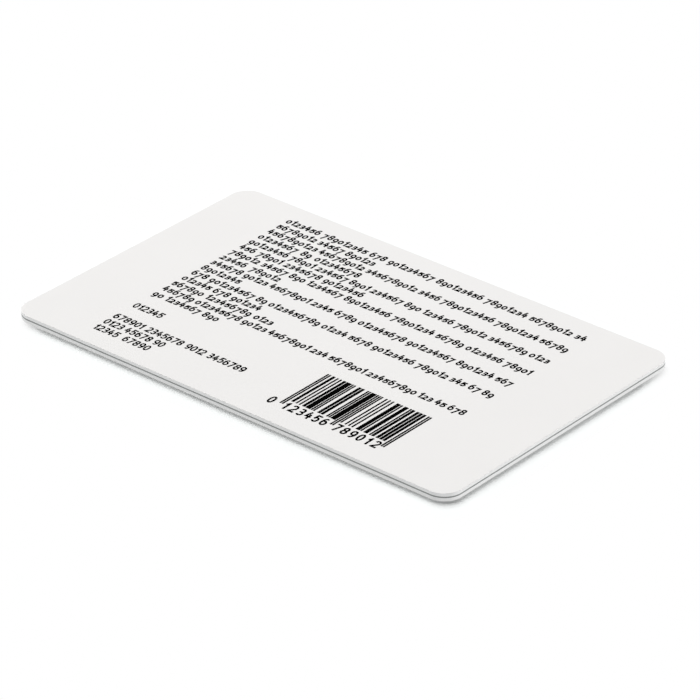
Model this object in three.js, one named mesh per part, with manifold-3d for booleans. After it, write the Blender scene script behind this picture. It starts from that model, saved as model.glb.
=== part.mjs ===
// An RFID blocking card in the bank card format, as the stack of sheets that are pressed together to make it.
// A film inlay in the middle carries an aluminium antenna coil and a chip, which answers a reader with noise.
// Millimetres, +Z up. The card lies with its printed back face up and its underside on z = 0, centred on the
// origin.

import * as THREE from "three";
import { mergeVertices } from "three/addons/utils/BufferGeometryUtils.js";
import Module from "manifold-3d";

const wasm = await Module();
wasm.setup();

// Card outline
const CARD_LENGTH = 85.6;
const CARD_WIDTH = 53.98;
const CORNER_RADIUS = 3.18;
const EDGE_EASE = 0.04; // rounding that the cutting die leaves on the two outer edges

// Sheet thicknesses
const OVERLAY_THICKNESS = 0.05;
const PRINT_SHEET_THICKNESS = 0.2;
const CORE_SHEET_THICKNESS = 0.3;
const INLAY_THICKNESS = 0.06;
const GLUE_OVER_METAL = 0.04; // adhesive between the metal and the core sheet

// Antenna coil, etched on the inlay's back face
const COIL_TURNS = 4;
const COIL_MARGIN = 4; // card edge to the outer turn
const TRACK_WIDTH = 0.8;
const TRACK_GAP = 0.6;
const TRACK_THICKNESS = 0.03;
const TRACK_BEND_RADIUS = 2.4; // at the middle of the track
const PAD_SIZE = 1.8;
const PAD_CORNER_RADIUS = 0.5;

// Bridge under the inlay, which brings the coil's outer end in to the chip
const BRIDGE_WIDTH = 1.4;
const BRIDGE_THICKNESS = 0.03;
const CONTACT_RADIUS = 0.45;
const CONTACT_FROM_MODULE = 2;

// Chip module: a split lead frame with a die on one half, a bond wire to each half and a moulded cap over all
const MODULE_X = -16;
const MODULE_LENGTH = 8;
const MODULE_WIDTH = 5;
const MODULE_CORNER_RADIUS = 0.5;
const LEAD_FRAME_THICKNESS = 0.05;
const LEAD_FRAME_GAP = 0.4;
const DIE_SIZE = 1.6;
const DIE_THICKNESS = 0.1;
const DIE_TO_GAP = 0.3;
const CAP_LENGTH = 5;
const CAP_WIDTH = 4.6;
const CAP_CORNER_RADIUS = 0.6;
const CAP_FOOT = 0.05; // height of the cap's straight foot, below its draft
const CAP_DRAFT = 0.04; // how far the cap's sides lean in above the foot
const WIRE_DIAMETER = 0.03;
const WIRE_BEND_RADIUS = 0.05; // at the middle of the wire
const BALL_RADIUS = 0.045; // ball that bonds the wire to the die
const BALL_HEIGHT = 0.02;
const BOND_INSET = 0.25; // edge of the die to the bond on it
const WIRE_FOOT = 0.4; // die or split to the wire's end on the lead frame
const RESIN_OVER_WIRE = 0.04;

// Clearances
const GLUE_CLEARANCE = 0.1; // adhesive to the side of the metal
const WINDOW_CLEARANCE = 0.2; // core sheet to the chip module
const CONTACT_CLEARANCE = 0.05; // inlay hole to the contact
const DIE_CLEARANCE = 0.05; // cap to the die
const WIRE_CLEARANCE = 0.05; // cap to the bond wires
const CAP_HEADROOM = 0.02; // cap to the print sheet

// Steps of a round stretch, for each eighth of a circle
const CARD_CORNER_STEPS = 8;
const TRACK_BEND_STEPS = 4;
const SMALL_CORNER_STEPS = 3;
const EASE_STEPS = 3;

// Finishes
const WHITE_PVC = { color: 0xf0efed, roughness: 0.45, metalness: 0 };
const OVERLAY_FILM = { color: 0xf1efee, roughness: 0.38, metalness: 0 };
const GLUE_FILM = { color: 0x7b7f7d, roughness: 0.5, metalness: 0 };
const INLAY_FILM = { color: 0x5d6160, roughness: 0.3, metalness: 0 };
const ALUMINIUM = { color: 0xcfd2d4, roughness: 0.35, metalness: 1 };
const PLATED_COPPER = { color: 0xd8b36a, roughness: 0.3, metalness: 1 };
const BOND_GOLD = { color: 0xe0b84f, roughness: 0.25, metalness: 1 };
const SILICON = { color: 0x3a3f4a, roughness: 0.2, metalness: 0 };
const MOULD_RESIN = { color: 0x17181a, roughness: 0.7, metalness: 0 };

// Places that follow from the sizes above
const TRACK_PITCH = TRACK_WIDTH + TRACK_GAP;
const BACK_GLUE_THICKNESS = TRACK_THICKNESS + GLUE_OVER_METAL;
const FRONT_GLUE_THICKNESS = BRIDGE_THICKNESS + GLUE_OVER_METAL;
const OUTER_TURN_Y = CARD_WIDTH / 2 - COIL_MARGIN - TRACK_WIDTH / 2;
const INNER_TURN_Y = OUTER_TURN_Y - (COIL_TURNS - 1) * TRACK_PITCH;
const MODULE_Y = INNER_TURN_Y - TRACK_WIDTH / 2 - TRACK_GAP - MODULE_WIDTH / 2;
const COIL_END_X = MODULE_X - MODULE_LENGTH / 2 + PAD_SIZE / 2;
const BRIDGE_X = MODULE_X + MODULE_LENGTH / 2 + CONTACT_FROM_MODULE;
const OUTER_PAD_Y = OUTER_TURN_Y + (PAD_SIZE - TRACK_WIDTH) / 2; // its inner side in line with the track's
const LINK_LEFT_X = MODULE_X + MODULE_LENGTH / 2 - PAD_SIZE;
const LINK_RIGHT_X = BRIDGE_X + PAD_SIZE / 2;
const FRAME_SPLIT_X = MODULE_X + DIE_SIZE / 2 + DIE_TO_GAP + LEAD_FRAME_GAP / 2;
const BOND_FROM_CENTRE = DIE_SIZE / 2 - BOND_INSET;

// The bond wires, as [name, side of the die, length from the bond to the end]
const BOND_WIRES = [
  ["short_bond_wire", -1, BOND_INSET + WIRE_FOOT],
  ["long_bond_wire", 1, BOND_INSET + DIE_TO_GAP + LEAD_FRAME_GAP + WIRE_FOOT],
];

// The stack of sheets, from the underside up, as [name, thickness]
const STACK = [
  ["front_overlay_film", OVERLAY_THICKNESS],
  ["front_print_sheet", PRINT_SHEET_THICKNESS],
  ["front_core_sheet", CORE_SHEET_THICKNESS],
  ["front_adhesive_film", FRONT_GLUE_THICKNESS],
  ["inlay_film", INLAY_THICKNESS],
  ["back_adhesive_film", BACK_GLUE_THICKNESS],
  ["back_core_sheet", CORE_SHEET_THICKNESS],
  ["back_print_sheet", PRINT_SHEET_THICKNESS],
  ["back_overlay_film", OVERLAY_THICKNESS],
];
const level = {};
let height = 0;
for (const [name, thickness] of STACK) {
  level[name] = height;
  height += thickness;
}
const CAP_HEIGHT =
  BACK_GLUE_THICKNESS + CORE_SHEET_THICKNESS - TRACK_THICKNESS - LEAD_FRAME_THICKNESS - CAP_HEADROOM;
const WIRE_ROOM_HEIGHT = CAP_HEIGHT - RESIN_OVER_WIRE;
const WIRE_TOP = WIRE_ROOM_HEIGHT - WIRE_CLEARANCE - WIRE_DIAMETER / 2; // at the middle of the wire

// A geometry as a closed solid, for cutting and joining.
function solidOf(geometry) {
  const bare = geometry.clone();
  bare.deleteAttribute("normal");
  bare.deleteAttribute("uv");
  const merged = mergeVertices(bare);
  return new wasm.Manifold(
    new wasm.Mesh({
      numProp: 3,
      vertProperties: merged.attributes.position.array,
      triVerts: new Uint32Array(merged.index.array),
    }),
  );
}

// A closed solid as a geometry that a mesh can show.
function geometryOf(solid) {
  const mesh = solid.getMesh();
  const geometry = new THREE.BufferGeometry();
  geometry.setAttribute("position", new THREE.BufferAttribute(mesh.vertProperties, 3));
  geometry.setIndex(new THREE.BufferAttribute(mesh.triVerts, 1));
  geometry.computeVertexNormals();
  return geometry;
}

function cut(geometry, tools) {
  const cutSolid = tools.reduce((solid, tool) => solid.subtract(solidOf(tool)), solidOf(geometry));
  return geometryOf(cutSolid);
}

function join(geometries) {
  return geometryOf(geometries.map(solidOf).reduce((whole, solid) => whole.add(solid)));
}

// A rectangle with round corners about a centre.
function roundedRectangle(length, width, radius, x = 0, y = 0) {
  const corner = Math.min(radius, length / 2, width / 2);
  const right = x + length / 2 - corner;
  const left = x - length / 2 + corner;
  const top = y + width / 2 - corner;
  const low = y - width / 2 + corner;
  const shape = new THREE.Shape();
  shape.moveTo(left, low - corner);
  shape.lineTo(right, low - corner);
  shape.absarc(right, low, corner, -Math.PI / 2, 0);
  shape.absarc(right, top, corner, 0, Math.PI / 2);
  shape.absarc(left, top, corner, Math.PI / 2, Math.PI);
  shape.absarc(left, low, corner, Math.PI, 1.5 * Math.PI);
  return shape;
}

// A flat shape made solid, from a level up.
function plate(shape, thickness, steps, from = 0) {
  const options = { depth: thickness, bevelEnabled: false, curveSegments: steps };
  return new THREE.ExtrudeGeometry(shape, options).translate(0, 0, from);
}

// A cutter for a flat shape, which goes right through a sheet that starts at level 0.
function cutter(shape, sheetThickness, steps) {
  return plate(shape, 3 * sheetThickness, steps, -sheetThickness);
}

// A cutter for a groove in the lower face of a sheet that starts at level 0.
function groove(shape, depth, steps) {
  return plate(shape, 2 * depth, steps, -depth);
}

function cardOutline() {
  return roundedRectangle(CARD_LENGTH, CARD_WIDTH, CORNER_RADIUS);
}

function cardSheet(thickness) {
  return plate(cardOutline(), thickness, CARD_CORNER_STEPS);
}

// A plate whose sides draw in over its upper part. It is cut from one twice as thick that draws in towards
// both faces.
function drawnInPlate(shape, thickness, rise, inset, riseSteps, steps) {
  const whole = new THREE.ExtrudeGeometry(shape, {
    depth: 2 * (thickness - rise),
    bevelThickness: rise,
    bevelSize: inset,
    bevelOffset: -inset,
    bevelSegments: riseSteps,
    curveSegments: steps,
  });
  whole.translate(0, 0, rise - thickness);
  const lowerHalf = cutter(roundedRectangle(2 * CARD_LENGTH, 2 * CARD_WIDTH, 0), thickness, 1);
  lowerHalf.translate(0, 0, -2 * thickness);
  return cut(whole, [lowerHalf]);
}

// An overlay film: a sheet whose outer edge is eased.
function overlayFilm() {
  const ease = Math.min(EDGE_EASE, 0.8 * OVERLAY_THICKNESS);
  return drawnInPlate(cardOutline(), OVERLAY_THICKNESS, ease, ease, EASE_STEPS, CARD_CORNER_STEPS);
}

// Rounds one corner of a path with an arc that meets both legs. The path turns clockwise.
function roundCorner(path, before, corner, after, radius) {
  const back = before.clone().sub(corner).setLength(radius);
  const onward = after.clone().sub(corner).setLength(radius);
  const centre = corner.clone().add(back).add(onward);
  const start = Math.atan2(-onward.y, -onward.x);
  const end = Math.atan2(-back.y, -back.x);
  path.lineTo(corner.x + back.x, corner.y + back.y);
  path.absarc(centre.x, centre.y, radius, start, end, true);
}

// A path through corners, with an arc at each inner one. The path turns clockwise.
function roundedPath(corners, radius) {
  const path = new THREE.Path();
  path.moveTo(corners[0].x, corners[0].y);
  for (let i = 1; i + 1 < corners.length; i += 1) {
    roundCorner(path, corners[i - 1], corners[i], corners[i + 1], radius);
  }
  const end = corners[corners.length - 1];
  path.lineTo(end.x, end.y);
  return path;
}

// The middle line of the antenna: a rectangular spiral that starts over the bridge and ends at the chip. It
// winds inwards by one pitch each time it comes round to the top.
function coilLine() {
  const corners = [new THREE.Vector2(BRIDGE_X, OUTER_TURN_Y)];
  for (let turn = 0; turn < COIL_TURNS; turn += 1) {
    const top = OUTER_TURN_Y - turn * TRACK_PITCH;
    const right = CARD_LENGTH / 2 - CARD_WIDTH / 2 + top;
    const isLast = turn + 1 >= COIL_TURNS;
    corners.push(new THREE.Vector2(right, top));
    corners.push(new THREE.Vector2(right, -top));
    corners.push(new THREE.Vector2(-right, -top));
    corners.push(new THREE.Vector2(-right, isLast ? MODULE_Y : top - TRACK_PITCH));
  }
  corners.push(new THREE.Vector2(COIL_END_X, MODULE_Y));
  return roundedPath(corners, TRACK_BEND_RADIUS);
}

// A flat band of even width along a path.
function band(path, width) {
  const points = path.getPoints(TRACK_BEND_STEPS);
  const last = points.length - 1;
  const left = [];
  const right = [];
  points.forEach((point, i) => {
    const along = points[Math.min(i + 1, last)].clone().sub(points[Math.max(i - 1, 0)]).normalize();
    const side = new THREE.Vector2(-along.y, along.x).multiplyScalar(width / 2);
    left.push(point.clone().add(side));
    right.push(point.clone().sub(side));
  });
  return new THREE.Shape([...left, ...right.reverse()]);
}

// The coil's track and the pads at its two ends, grown by a margin on every side and made solid.
function coilSolid(thickness, margin, from) {
  const pad = PAD_SIZE + 2 * margin;
  const padCorner = PAD_CORNER_RADIUS + margin;
  const outerPad = roundedRectangle(pad, pad, padCorner, BRIDGE_X, OUTER_PAD_Y);
  const endPad = roundedRectangle(pad, pad, padCorner, COIL_END_X, MODULE_Y);
  return join([
    plate(band(coilLine(), TRACK_WIDTH + 2 * margin), thickness, TRACK_BEND_STEPS, from),
    plate(outerPad, thickness, SMALL_CORNER_STEPS, from),
    plate(endPad, thickness, SMALL_CORNER_STEPS, from),
  ]);
}

// The least gap that the coil leaves to itself, between points further apart along it than one corner.
function leastCoilGap(spacing) {
  const line = coilLine();
  const points = line.getSpacedPoints(Math.ceil(line.getLength() / spacing));
  const apart = Math.ceil((2 * Math.PI * TRACK_BEND_RADIUS) / spacing);
  let least = Infinity;
  for (let i = 0; i < points.length; i += 1) {
    for (let j = i + apart; j < points.length; j += 1) {
      least = Math.min(least, points[i].distanceTo(points[j]));
    }
  }
  return least - TRACK_WIDTH;
}

// The pad that links the bridge's inner end to the chip module's right half.
function linkPadShape(margin) {
  const length = LINK_RIGHT_X - LINK_LEFT_X + 2 * margin;
  const middle = (LINK_LEFT_X + LINK_RIGHT_X) / 2;
  return roundedRectangle(length, PAD_SIZE + 2 * margin, PAD_CORNER_RADIUS + margin, middle, MODULE_Y);
}

function bridgeShape(margin) {
  const length = OUTER_PAD_Y - MODULE_Y + PAD_SIZE + 2 * margin;
  const middle = (OUTER_PAD_Y + MODULE_Y) / 2;
  return roundedRectangle(BRIDGE_WIDTH + 2 * margin, length, PAD_CORNER_RADIUS + margin, BRIDGE_X, middle);
}

function contactShape(y, margin) {
  const across = 2 * (CONTACT_RADIUS + margin);
  return roundedRectangle(across, across, across / 2, BRIDGE_X, y);
}

function moduleShape(margin) {
  const length = MODULE_LENGTH + 2 * margin;
  const width = MODULE_WIDTH + 2 * margin;
  return roundedRectangle(length, width, MODULE_CORNER_RADIUS + margin, MODULE_X, MODULE_Y);
}

function dieShape(margin) {
  const side = DIE_SIZE + 2 * margin;
  return roundedRectangle(side, side, margin, MODULE_X, MODULE_Y);
}

// The film that carries the antenna, with a round hole for each contact.
function inlayFilm() {
  const holes = [OUTER_PAD_Y, MODULE_Y].map((y) =>
    cutter(contactShape(y, CONTACT_CLEARANCE), INLAY_THICKNESS, SMALL_CORNER_STEPS),
  );
  return cut(cardSheet(INLAY_THICKNESS), holes);
}

// The adhesive over the inlay: it flows over the coil and the link pad, and leaves room for the chip module.
function backAdhesiveFilm() {
  return cut(cardSheet(BACK_GLUE_THICKNESS), [
    coilSolid(2 * TRACK_THICKNESS, GLUE_CLEARANCE, -TRACK_THICKNESS),
    groove(linkPadShape(GLUE_CLEARANCE), TRACK_THICKNESS, SMALL_CORNER_STEPS),
    cutter(moduleShape(WINDOW_CLEARANCE), BACK_GLUE_THICKNESS, SMALL_CORNER_STEPS),
  ]);
}

// The adhesive under the inlay, which flows round the bridge in its upper face.
function frontAdhesiveFilm() {
  const slot = groove(bridgeShape(GLUE_CLEARANCE), BRIDGE_THICKNESS, SMALL_CORNER_STEPS);
  slot.translate(0, 0, FRONT_GLUE_THICKNESS);
  return cut(cardSheet(FRONT_GLUE_THICKNESS), [slot]);
}

// The core sheet over the inlay, with the punched window that the chip module stands in.
function backCoreSheet() {
  const window = cutter(moduleShape(WINDOW_CLEARANCE), CORE_SHEET_THICKNESS, SMALL_CORNER_STEPS);
  return cut(cardSheet(CORE_SHEET_THICKNESS), [window]);
}

// One half of the lead frame: what is left of the module's outline on one side of the split.
function leadFrameHalf(side) {
  const otherSide = FRAME_SPLIT_X - (side * (MODULE_LENGTH - LEAD_FRAME_GAP)) / 2;
  const offcut = roundedRectangle(MODULE_LENGTH, 2 * MODULE_WIDTH, 0, otherSide, MODULE_Y);
  return cut(plate(moduleShape(0), LEAD_FRAME_THICKNESS, SMALL_CORNER_STEPS), [
    cutter(offcut, LEAD_FRAME_THICKNESS, 1),
  ]);
}

// A bond wire of eight sides, in the upright plane y = 0. It rises from a ball on the die at x = 0, bends
// over and comes down on the lead frame, whose upper face is at level 0.
function bondWire(reach) {
  const corners = [
    new THREE.Vector2(0, DIE_THICKNESS),
    new THREE.Vector2(0, WIRE_TOP),
    new THREE.Vector2(reach, WIRE_TOP),
    new THREE.Vector2(reach, 0),
  ];
  const bend = Math.min(WIRE_BEND_RADIUS, 0.8 * (WIRE_TOP - DIE_THICKNESS));
  const chamfer = WIRE_DIAMETER * (1 - Math.SQRT1_2);
  const side = WIRE_DIAMETER - 2 * chamfer;
  const wire = new THREE.ExtrudeGeometry(band(roundedPath(corners, bend), WIRE_DIAMETER), {
    depth: side,
    bevelThickness: chamfer,
    bevelSize: chamfer,
    bevelOffset: -chamfer,
    bevelSegments: 1,
  });
  wire.translate(0, 0, -side / 2).rotateX(Math.PI / 2);
  const ball = roundedRectangle(2 * BALL_RADIUS, 2 * BALL_RADIUS, BALL_RADIUS);
  return join([wire, plate(ball, BALL_HEIGHT, SMALL_CORNER_STEPS, DIE_THICKNESS)]);
}

// The room that a bond wire takes up in the cap, seen from above.
function wireRoomShape(side, reach) {
  const length = reach + WIRE_DIAMETER + 2 * WIRE_CLEARANCE;
  const middle = MODULE_X + side * (BOND_FROM_CENTRE + reach / 2);
  return roundedRectangle(length, WIRE_DIAMETER + 2 * WIRE_CLEARANCE, 0, middle, MODULE_Y);
}

// The moulded cap, with the room that the die and the bond wires take up in its underside.
function chipCap() {
  const outside = roundedRectangle(CAP_LENGTH, CAP_WIDTH, CAP_CORNER_RADIUS, MODULE_X, MODULE_Y);
  const cap = drawnInPlate(outside, CAP_HEIGHT, CAP_HEIGHT - CAP_FOOT, CAP_DRAFT, 1, SMALL_CORNER_STEPS);
  const dieRoom = groove(dieShape(DIE_CLEARANCE), DIE_THICKNESS + DIE_CLEARANCE, SMALL_CORNER_STEPS);
  const wireRooms = BOND_WIRES.map(([, side, reach]) =>
    groove(wireRoomShape(side, reach), WIRE_ROOM_HEIGHT, 1),
  );
  return cut(cap, [dieRoom, ...wireRooms]);
}

const card = new THREE.Group();

function add(group, name, geometry, finish, z = 0) {
  const mesh = new THREE.Mesh(geometry, new THREE.MeshStandardMaterial(finish));
  mesh.name = name;
  mesh.position.z = z;
  group.add(mesh);
  return mesh;
}

// White sheets, two on each side of the inlay
for (const name of ["front_print_sheet", "back_print_sheet"]) {
  add(card, name, cardSheet(PRINT_SHEET_THICKNESS), WHITE_PVC, level[name]);
}
add(card, "front_core_sheet", cardSheet(CORE_SHEET_THICKNESS), WHITE_PVC, level.front_core_sheet);
add(card, "back_core_sheet", backCoreSheet(), WHITE_PVC, level.back_core_sheet);

// Overlay films, the lower one turned over so that its eased edge is at the underside
add(card, "back_overlay_film", overlayFilm(), OVERLAY_FILM, level.back_overlay_film);
const frontOverlay = add(card, "front_overlay_film", overlayFilm(), OVERLAY_FILM, OVERLAY_THICKNESS);
frontOverlay.rotation.x = Math.PI;

// Inlay, and the adhesive on both of its faces
add(card, "front_adhesive_film", frontAdhesiveFilm(), GLUE_FILM, level.front_adhesive_film);
add(card, "back_adhesive_film", backAdhesiveFilm(), GLUE_FILM, level.back_adhesive_film);
add(card, "inlay_film", inlayFilm(), INLAY_FILM, level.inlay_film);

// Antenna: the coil and the link pad on the inlay, the bridge under it, and a contact through it at each end
const linkPad = plate(linkPadShape(0), TRACK_THICKNESS, SMALL_CORNER_STEPS);
const bridge = plate(bridgeShape(0), BRIDGE_THICKNESS, SMALL_CORNER_STEPS);
add(card, "antenna_coil", coilSolid(TRACK_THICKNESS, 0, 0), ALUMINIUM, level.back_adhesive_film);
add(card, "link_pad", linkPad, ALUMINIUM, level.back_adhesive_film);
add(card, "antenna_bridge", bridge, ALUMINIUM, level.inlay_film - BRIDGE_THICKNESS);
for (const [name, y] of [["outer_contact", OUTER_PAD_Y], ["inner_contact", MODULE_Y]]) {
  const contact = plate(contactShape(y, 0), INLAY_THICKNESS, SMALL_CORNER_STEPS);
  add(card, name, contact, ALUMINIUM, level.inlay_film);
}

// Chip module, standing on the coil's inner end and on the link pad
const chipModule = new THREE.Group();
chipModule.position.z = level.back_adhesive_film + TRACK_THICKNESS;
card.add(chipModule);
const die = plate(dieShape(0), DIE_THICKNESS, 1);
add(chipModule, "lead_frame_die_half", leadFrameHalf(-1), PLATED_COPPER);
add(chipModule, "lead_frame_wire_half", leadFrameHalf(1), PLATED_COPPER);
add(chipModule, "chip_die", die, SILICON, LEAD_FRAME_THICKNESS);
for (const [name, side, reach] of BOND_WIRES) {
  const wire = add(chipModule, name, bondWire(reach), BOND_GOLD, LEAD_FRAME_THICKNESS);
  wire.position.x = MODULE_X + side * BOND_FROM_CENTRE;
  wire.position.y = MODULE_Y;
  wire.rotation.z = side < 0 ? Math.PI : 0;
}
add(chipModule, "chip_mould_cap", chipCap(), MOULD_RESIN, LEAD_FRAME_THICKNESS);

console.log(`Card thickness ${height.toFixed(2)} mm`);
console.log(`Least gap between turns of the antenna ${leastCoilGap(TRACK_GAP / 2).toFixed(2)} mm`);

export default card;
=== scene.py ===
"""The looks of an RFID blocking card: white laminated sheets, a dark film seam and a black printed back.

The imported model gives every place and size. The white sheets are rebuilt here as smooth surfaces, the
print is added on the back face, the inlay inside keeps its own solids, and a white studio floor carries the
card.
"""

import logging
import math
from dataclasses import dataclass
from enum import Enum
from functools import cached_property

import bpy
import numpy as np
from mathutils import Matrix, Vector
from mathutils.geometry import delaunay_2d_cdt


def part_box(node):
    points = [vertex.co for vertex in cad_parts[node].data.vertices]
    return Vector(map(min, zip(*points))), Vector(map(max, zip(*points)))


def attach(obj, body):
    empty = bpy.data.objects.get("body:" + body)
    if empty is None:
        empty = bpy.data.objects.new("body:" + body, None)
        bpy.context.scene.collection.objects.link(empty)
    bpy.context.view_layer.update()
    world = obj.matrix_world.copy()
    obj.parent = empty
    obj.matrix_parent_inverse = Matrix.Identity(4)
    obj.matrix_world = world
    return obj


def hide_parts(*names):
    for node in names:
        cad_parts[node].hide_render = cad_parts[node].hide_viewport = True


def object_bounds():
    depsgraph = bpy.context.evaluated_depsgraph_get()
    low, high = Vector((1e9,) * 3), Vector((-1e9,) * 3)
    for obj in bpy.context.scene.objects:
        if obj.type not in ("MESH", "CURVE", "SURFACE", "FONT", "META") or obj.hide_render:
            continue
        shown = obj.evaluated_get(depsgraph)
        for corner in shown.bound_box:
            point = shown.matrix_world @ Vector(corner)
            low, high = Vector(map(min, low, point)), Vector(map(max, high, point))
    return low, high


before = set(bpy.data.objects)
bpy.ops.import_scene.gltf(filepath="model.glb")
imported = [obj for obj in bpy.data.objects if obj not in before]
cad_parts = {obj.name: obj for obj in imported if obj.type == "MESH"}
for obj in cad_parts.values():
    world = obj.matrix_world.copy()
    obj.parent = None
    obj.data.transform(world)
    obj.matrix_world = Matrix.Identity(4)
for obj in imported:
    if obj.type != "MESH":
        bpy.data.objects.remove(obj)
CAD_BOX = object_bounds()

Array = np.ndarray
Colour = tuple[float, float, float]
Grain = tuple[float, float, float]
Profile = list[tuple[float, float]]
Socket = bpy.types.NodeSocket
Piece = bpy.types.Object

MM = 0.001
MICRON = 0.000001
BODY = "root"
WHITE = (1.0, 1.0, 1.0)
UP = Vector((0.0, 0.0, 1.0))
SHARP_DEG = 40.0
NOISE_RANGE = (0.25, 0.75)
SMALLEST = 1e-12

# The sockets of a Mix node that take and give colours.
MIX_LOW = 6
MIX_HIGH = 7
MIX_RESULT = 2

# How strokes are fused: faces are kept whole, and points closer than this many millimetres become one.
WHOLE_FACES = 4
MERGE_MM = 1e-5

# The bar code's marks, where 1 is dark: the guards, and the figures 0 to 9 as they are left of the middle.
SIDE_GUARD = "101"
MIDDLE_GUARD = "01010"
LEFT_CODES = (
    *("0001101", "0011001", "0010011", "0111101", "0100011"),
    *("0110001", "0101111", "0111011", "0110111", "0001011"),
)

# Length of a full row of the print.
FULL_ROW = 59.7 * MM

log = logging.getLogger("card")


class Slot(Enum):
    """The record's material slots that the new pieces belong to."""

    WHITE_PVC = "white_pvc"
    OVERLAY_FILM = "overlay_film"
    PRINT_INK = "print_ink"


def opaque(colour: Colour) -> tuple[float, float, float, float]:
    """The colour with full cover, as a colour socket takes it."""
    return (*colour, 1.0)


@dataclass
class Surface:
    """A mesh in the making.

    Attributes:
        points: one row of x, y and z for each point, in metres.
        faces: arrays of point numbers, one row for each face. Each array has faces of one number of corners.
    """

    points: Array
    faces: list[Array]

    @staticmethod
    def joined(parts: list["Surface"]) -> "Surface":
        """Several surfaces as one, with the point numbers of each moved past those before it.

        Args:
            parts: the surfaces, in order.

        Returns:
            One surface that holds them all.
        """
        firsts = np.cumsum([0] + [len(part.points) for part in parts])
        faces = [face + first for part, first in zip(parts, firsts) for face in part.faces]
        return Surface(np.concatenate([part.points for part in parts]), faces)

    def lifted(self, low: float, thickness: float) -> "Surface":
        """The same surface, with its one unit of height made a real thickness, from a level up."""
        return Surface(self.points * [1.0, 1.0, thickness] + [0.0, 0.0, low], self.faces)

    def piece(self, name: str, material: bpy.types.Material, slot: Slot) -> Piece:
        """Puts the surface into the scene as a piece that rides on the card.

        Args:
            name: the piece's name.
            material: its finish.
            slot: the record's slot that the finish belongs to. It is not used.

        Returns:
            The new object.
        """
        mesh = bpy.data.meshes.new(name)
        mesh.from_pydata(self.points.tolist(), [], [row for face in self.faces for row in face.tolist()])
        mesh.polygons.foreach_set("use_smooth", np.ones(len(mesh.polygons), dtype=bool))
        mesh.set_sharp_from_angle(angle=math.radians(SHARP_DEG))
        mesh.materials.append(material)
        piece = bpy.data.objects.new(name, mesh)
        bpy.context.scene.collection.objects.link(piece)
        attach(piece, BODY)
        return piece


def grid_faces(numbers: Array) -> Array:
    """Quads between neighbouring points of a grid.

    Args:
        numbers: point numbers by row and column. Columns run to the right and rows run up when the face is
            seen from outside.

    Returns:
        One row of four point numbers for each quad.
    """
    corners = [numbers[:-1, :-1], numbers[:-1, 1:], numbers[1:, 1:], numbers[1:, :-1]]
    return np.stack(corners, axis=-1).reshape(-1, 4)


def even(size: float) -> Grain:
    """A grain of one size in all directions."""
    return (size, size, size)


def with_height(plane: Array, height: float) -> Array:
    """Points of a plane with their height added as the last column."""
    return np.concatenate([plane, np.full((*plane.shape[:-1], 1), height)], axis=-1)


@dataclass(frozen=True)
class Outline:
    """A rectangle with round corners, in metres.

    Attributes:
        length: size along X.
        width: size along Y.
        radius: corner radius.
        centre: x and y of the middle.
        arc_steps: steps in each corner.
        long_steps: steps along each long side.
        short_steps: steps along each short side, between the corners.
    """

    length: float
    width: float
    radius: float
    centre: tuple[float, float] = (0.0, 0.0)
    arc_steps: int = 24
    long_steps: int = 72
    short_steps: int = 36

    def face_grid(self, inset: float) -> Array:
        """Points over the face, drawn in from the outline by an inset.

        Rows run along X. In a corner a row lies at the corner centre's y plus r sin(angle), and its half
        length is the corner centre's x plus r cos(angle), where r is the radius less the inset. Between the
        corners rows are evenly spaced and all as long as the card.

        Args:
            inset: distance in from the outline.

        Returns:
            An array of rows, columns and x, y.
        """
        radius = self.radius - inset
        corner_x = self.length / 2 - self.radius
        corner_y = self.width / 2 - self.radius
        angle = np.linspace(0.0, math.pi / 2, self.arc_steps + 1)
        straight = np.linspace(-corner_y, corner_y, self.short_steps + 1)[1:-1]
        upper_y = corner_y + radius * np.sin(angle)
        upper_half = corner_x + radius * np.cos(angle)
        row_y = np.concatenate([-upper_y[::-1], straight, upper_y])
        row_half = np.concatenate([upper_half[::-1], np.full(len(straight), corner_x + radius), upper_half])
        share = np.linspace(-1.0, 1.0, self.long_steps + 1)
        x = self.centre[0] + np.outer(row_half, share)
        y = self.centre[1] + np.repeat(row_y[:, None], len(share), axis=1)
        return np.stack([x, y], axis=-1)

    def rim_numbers(self) -> Array:
        """The numbers of the face grid's edge points.

        Returns:
            The numbers, once round anticlockwise from the lower left, seen from above.
        """
        rows = 2 * (self.arc_steps + 1) + self.short_steps - 1
        numbers = np.arange(rows * (self.long_steps + 1)).reshape(rows, -1)
        sides = [numbers[0, :-1], numbers[:-1, -1], numbers[-1, :0:-1], numbers[:0:-1, 0]]
        return np.concatenate(sides)

    def rim(self, inset: float) -> Array:
        """The face grid's edge points, as x and y, in the order of rim_numbers."""
        return self.face_grid(inset).reshape(-1, 2)[self.rim_numbers()]

    def reach(self, direction: Array) -> Array:
        """How far the outline is from its centre in each direction.

        A ray meets a long side at b / |sin|, a short side at a / |cos|, or, past both straight stretches, the
        corner arc, where the distance t solves |t d - c| = radius for the corner's centre c.

        Args:
            direction: unit vectors, one row each.

        Returns:
            One distance for each direction.
        """
        along = np.maximum(np.abs(direction), SMALLEST)
        half = np.array([self.length, self.width]) / 2
        corner = half - self.radius
        nearest = (half / along).min(axis=1)
        in_corner = (along * nearest[:, None] > corner).all(axis=1)
        toward = along @ corner
        to_arc = toward + np.sqrt(np.maximum(toward**2 - corner @ corner + self.radius**2, 0.0))
        return np.where(in_corner, to_arc, nearest)


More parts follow.
